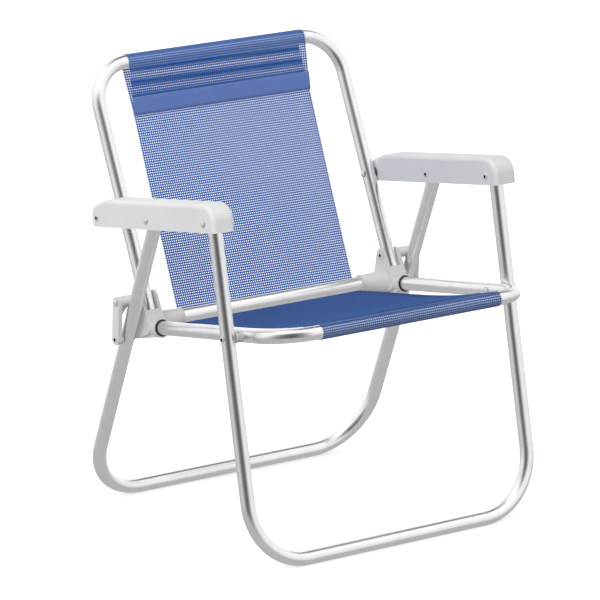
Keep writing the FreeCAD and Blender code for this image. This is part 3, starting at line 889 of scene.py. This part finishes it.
def make_band():
    """The webbing band sewn over the flap's lower edge, on the sitter's side."""
    hem = seam_place() + back_front * (FLAP_GAP / 2.0)
    up = (tangent_point(hem, back_bar, wrap_radius, 1.0) - hem).normalized()
    low = hem - up * BAND_OVERHANG + turned(up) * (SHEET_THICKNESS / 2.0 + BAND_LIFT)
    high = low + up * BAND_HEIGHT
    points = [low] + run(low, high)
    lines = [[p] * COLUMNS for p in points]
    mesh = sheet_mesh("hem_band", lines, column_places(), path_distances(points))
    band = new_object("hem_band", mesh)
    mesh.materials.append(band_cloth())
    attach(band, "back_body")
    return band, low, high


def stitch_row(bm, height, direction):
    """One row of short rounded stitches across the band."""
    count = int(2.0 * half_width / STITCH_PITCH)
    for i in range(count):
        x = -half_width + STITCH_PITCH * (i + 0.5)
        centre = Vector((x, height.x, height.y)) + direction * (SHEET_THICKNESS / 2.0)
        turn = Matrix.Translation(centre) @ Matrix.Rotation(math.radians(90.0), 4, "Y")
        before = set(bm.verts)
        bmesh.ops.create_uvsphere(
            bm, u_segments=STITCH_SEGMENTS, v_segments=STITCH_SEGMENTS, radius=STITCH_RADIUS, matrix=turn
        )
        stretch = STITCH_LENGTH / (2.0 * STITCH_RADIUS)
        for vertex in set(bm.verts) - before:
            vertex.co.x = x + (vertex.co.x - x) * stretch


def make_stitches(low, high):
    """Two rows of stitches, along the band's lower and upper edge."""
    bm = bmesh.new()
    up = (high - low).normalized()
    direction = Vector((0.0, turned(up).x, turned(up).y))
    for height in (low + up * STITCH_INSET, high - up * STITCH_INSET):
        stitch_row(bm, height, direction)
    mesh = bpy.data.meshes.new("hem_stitches")
    bm.to_mesh(mesh)
    bm.free()
    stitches = new_object("hem_stitches", mesh)
    mesh.materials.append(thread_cloth())
    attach(stitches, "back_body")
    return stitches


# ---------------------------------------------------------------- stage

def camera_axes():
    """The level directions from the chair to the camera's side, and to the camera's right."""
    front = Vector((math.sin(CAMERA_AZIMUTH), -math.cos(CAMERA_AZIMUTH), 0.0))
    right = Vector((math.cos(CAMERA_AZIMUTH), math.sin(CAMERA_AZIMUTH), 0.0))
    return front, right


def make_floor():
    """A plain pale floor that the metal doesn't mirror and that throws no light back."""
    mesh = bpy.data.meshes.new("floor")
    corners = [(x * FLOOR_HALF, y * FLOOR_HALF, 0.0) for x, y in ((-1, -1), (1, -1), (1, 1), (-1, 1))]
    mesh.from_pydata(corners, [], [(0, 1, 2, 3)])
    floor = new_object("floor", mesh)
    n = material_nodes("floor_paint")
    speckle = n.noise(n.position(), FLOOR_SPECKLE)
    floor_paint = n.shader(
        Base_Color=n.mix(speckle, FLOOR_DARK, FLOOR_LIGHT),
        Roughness=FLOOR_ROUGHNESS,
        Specular_IOR_Level=FLOOR_SHINE,
        Emission_Color=WHITE,
        Emission_Strength=FLOOR_GLOW,
    )
    mesh.materials.append(floor_paint)
    floor.visible_glossy = False
    floor.visible_diffuse = False


def angle_ramp(n, angle, degrees, end=1.0):
    """A smooth change from 0 to end over a span of degrees."""
    return n.ramp(angle, math.radians(degrees[0]), math.radians(degrees[1]), 0.0, end)


def studio_reflection(n, direction):
    """What the metal mirrors, by direction.

    White walls, a bright ceiling, a grey floor, a greyer lower left and a dark gap high behind the chair.
    """
    front, right = camera_axes()
    azimuth = n.math("ARCTAN2", n.component(direction, right), n.component(direction, front))
    height = n.math("ARCSINE", n.component(direction, UP))
    level = n.toward(WALL_FOOT, angle_ramp(n, height, WALL_RISE), WALL_TOP)
    level = n.toward(level, angle_ramp(n, height, CEILING_RISE), CEILING_LEVEL)
    from_side = n.math("ABSOLUTE", n.math("SUBTRACT", azimuth, math.radians(SIDE_CENTRE)))
    on_side = angle_ramp(n, from_side, (SIDE_HALF + SIDE_SOFT, SIDE_HALF - SIDE_SOFT))
    on_side = n.math("MULTIPLY", angle_ramp(n, height, SIDE_FALL), on_side)
    level = n.toward(level, on_side, SIDE_LEVEL)
    level = n.toward(level, angle_ramp(n, n.math("ABSOLUTE", azimuth), BEHIND_TURN), BEHIND_LEVEL)
    gap_left = angle_ramp(n, azimuth, GAP_LEFT_TURN, GAP_LEFT_SHARE)
    gap_right = angle_ramp(n, azimuth, GAP_RIGHT_TURN)
    in_gap = n.math("MULTIPLY", n.math("ADD", gap_left, gap_right), angle_ramp(n, height, GAP_RISE))
    level = n.toward(level, in_gap, GAP_LEVEL)
    return n.toward(level, angle_ramp(n, height, FLOOR_FALL), FLOOR_LEVEL)


def make_flag():
    """A dark card between the camera and the chair, faded at its edges, that only the metal mirrors."""
    front, right = camera_axes()
    corners = [
        front * FLAG_DISTANCE + right * across + UP * height
        for across, height in (
            (-FLAG_LEFT, -FLAG_BELOW),
            (FLAG_RIGHT, -FLAG_BELOW),
            (FLAG_RIGHT, FLAG_TOP),
            (-FLAG_LEFT, FLAG_TOP),
        )
    ]
    mesh = bpy.data.meshes.new("flag")
    mesh.from_pydata([tuple(c) for c in corners], [], [(0, 1, 2, 3)])
    flag = new_object("flag", mesh)
    n = material_nodes("flag_card")
    place = n.position()
    across = n.component(place, right)
    height = n.component(place, UP)
    sides = n.math("MULTIPLY", n.ramp(across, -FLAG_LEFT, 0.0), n.ramp(across, FLAG_RIGHT, 0.0))
    ends = n.math("MULTIPLY", n.ramp(height, FLAG_TOP, FLAG_FULL), n.ramp(height, -FLAG_BELOW, 0.0))
    clear = n.add("ShaderNodeBsdfTransparent")
    dark = n.add("ShaderNodeEmission")
    dark.inputs["Color"].default_value = WHITE
    dark.inputs["Strength"].default_value = FLAG_LEVEL
    cover = n.add("ShaderNodeMixShader")
    n.link(n.math("MULTIPLY", sides, ends), cover.inputs[0])
    n.link(clear.outputs[0], cover.inputs[1])
    n.link(dark.outputs[0], cover.inputs[2])
    n.link(cover.outputs[0], n.output.inputs["Surface"])
    mesh.materials.append(n.owner)
    flag.visible_camera = False
    flag.visible_diffuse = False
    flag.visible_shadow = False
    flag.visible_transmission = False


def make_world():
    """A white studio. Diffuse light comes from a soft dome, mirrored light from the studio's walls."""
    world = bpy.data.worlds.new("studio")
    bpy.context.scene.world = world
    n = Nodes(world, "ShaderNodeOutputWorld")
    direction = n.add("ShaderNodeTexCoord").outputs["Generated"]
    height = n.component(direction, UP)
    above = n.math("MULTIPLY_ADD", n.math("MULTIPLY", height, height), DOME_TOP - DOME_SIDE, DOME_SIDE)
    dome = n.toward(above, n.ramp(height, DOME_EDGE, -DOME_EDGE), DOME_BELOW)
    path = n.add("ShaderNodeLightPath")
    level = n.toward(dome, path.outputs["Is Glossy Ray"], studio_reflection(n, direction))
    level = n.toward(level, path.outputs["Is Camera Ray"], 1.0)
    background = n.add("ShaderNodeBackground")
    background.inputs["Color"].default_value = WHITE
    n.link(level, background.inputs["Strength"])
    n.link(background.outputs[0], n.output.inputs["Surface"])


def make_key_light():
    """A wide soft sun from the upper left of the camera."""
    data = bpy.data.lights.new("key", "SUN")
    data.energy = KEY_STRENGTH
    data.angle = KEY_ANGLE
    light = bpy.data.objects.new("key", data)
    bpy.context.scene.collection.objects.link(light)
    light.rotation_euler = Vector(KEY_FROM).to_track_quat("Z", "Y").to_euler()
    light.visible_glossy = False


def make_camera():
    """The camera at the reference angle, aimed a little beside its target to frame the chair."""
    front, right = camera_axes()
    back = front * math.cos(CAMERA_ELEVATION) + UP * math.sin(CAMERA_ELEVATION)
    up = back.cross(right)
    rolled_right = right * math.cos(CAMERA_ROLL) + up * math.sin(CAMERA_ROLL)
    rolled_up = up * math.cos(CAMERA_ROLL) - right * math.sin(CAMERA_ROLL)
    place = CAMERA_TARGET + back * CAMERA_DISTANCE
    aim = CAMERA_TARGET - rolled_right * CAMERA_AIM_LEFT - rolled_up * CAMERA_AIM_DOWN
    away = (place - aim).normalized()
    side = rolled_up.cross(away).normalized()
    top = away.cross(side)
    camera = bpy.data.objects.new("camera", bpy.data.cameras.new("camera"))
    camera.data.lens = CAMERA_LENS
    camera.data.sensor_width = CAMERA_SENSOR
    camera.data.clip_end = CAMERA_REACH
    camera.matrix_world = Matrix.Translation(place) @ Matrix((side, top, away)).transposed().to_4x4()
    bpy.context.scene.collection.objects.link(camera)
    bpy.context.scene.camera = camera


# ---------------------------------------------------------------- assembly

def way_from(crossbar, joint):
    """The way a leg leaves its crossbar, toward the joint at its other end."""
    return (joint_place(joint) - crossbar).normalized()


front_bar = Vector((corner("front_leg", 0).y + tube_radius, corner("front_leg", 0).z + tube_radius))
rear_bar = Vector((corner("rear_leg", 1).y - tube_radius, corner("rear_leg", 0).z + tube_radius))
front_leg_way = way_from(front_bar, "front_leg_fold")
rear_leg_way = way_from(rear_bar, "rear_leg_fold")
seat_way = (cross_centre - seat_bar).normalized()
paint("front_leg", tube_metal("front_leg_metal", front_bar, front_leg_way, LEG_BEND))
paint("rear_leg", tube_metal("rear_leg_metal", rear_bar, rear_leg_way, LEG_BEND))
# The back and seat crossbars get painted shade, tinted blue, under the cloth.
paint("back_frame", tube_metal("back_metal", back_bar, back_down, BACK_BEND, covered=True))
paint("seat_frame", tube_metal("seat_metal", seat_bar, seat_way, SEAT_BEND, covered=True))
paint("cross_tube", straight_metal("cross_metal"))

# The left armrest takes a darker copy of the same plastic: painted shade.
armrest_plastic = {
    "left": moulded("armrest_plastic_left_shaded", *ARMREST_LEFT_SHADED),
    "right": moulded("armrest_plastic_right", *ARMREST_RIGHT),
}
bracket_plastic = moulded("bracket_plastic", *BRACKET, shade=socket_shade)
link_plastic = moulded("link_plastic", *LINK)
spacer_plastic = moulded("spacer_plastic", *SPACER)
dark_plastic = moulded("dark_plastic", *WASHER)

for side in ("left", "right"):
    paint("armrest_" + side, armrest_plastic[side])
    paint("corner_bracket_" + side, bracket_plastic)
    paint("link_" + side, link_plastic)
    paint("link_spacer_" + side, spacer_plastic)
    paint("seat_spacer_" + side, spacer_plastic)
    paint("arm_washer_" + side, dark_plastic)

for node in frame["nodes"]:
    if "rivets" in node:
        paint(node, rivet_metal(node, RIVET_TAILS.get(node, 0)))

sling, cords, sling_length = make_sling()
band, band_low, band_high = make_band()
stitches = make_stitches(band_low, band_high)
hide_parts("back_sling", "seat_sling")
for piece in (sling, cords):
    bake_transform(piece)

for cloth in (sling, cords, band, stitches):
    cloth.visible_glossy = False

make_camera()
make_floor()
make_flag()
make_world()
make_key_light()

bpy.context.scene.view_settings.view_transform = "Standard"
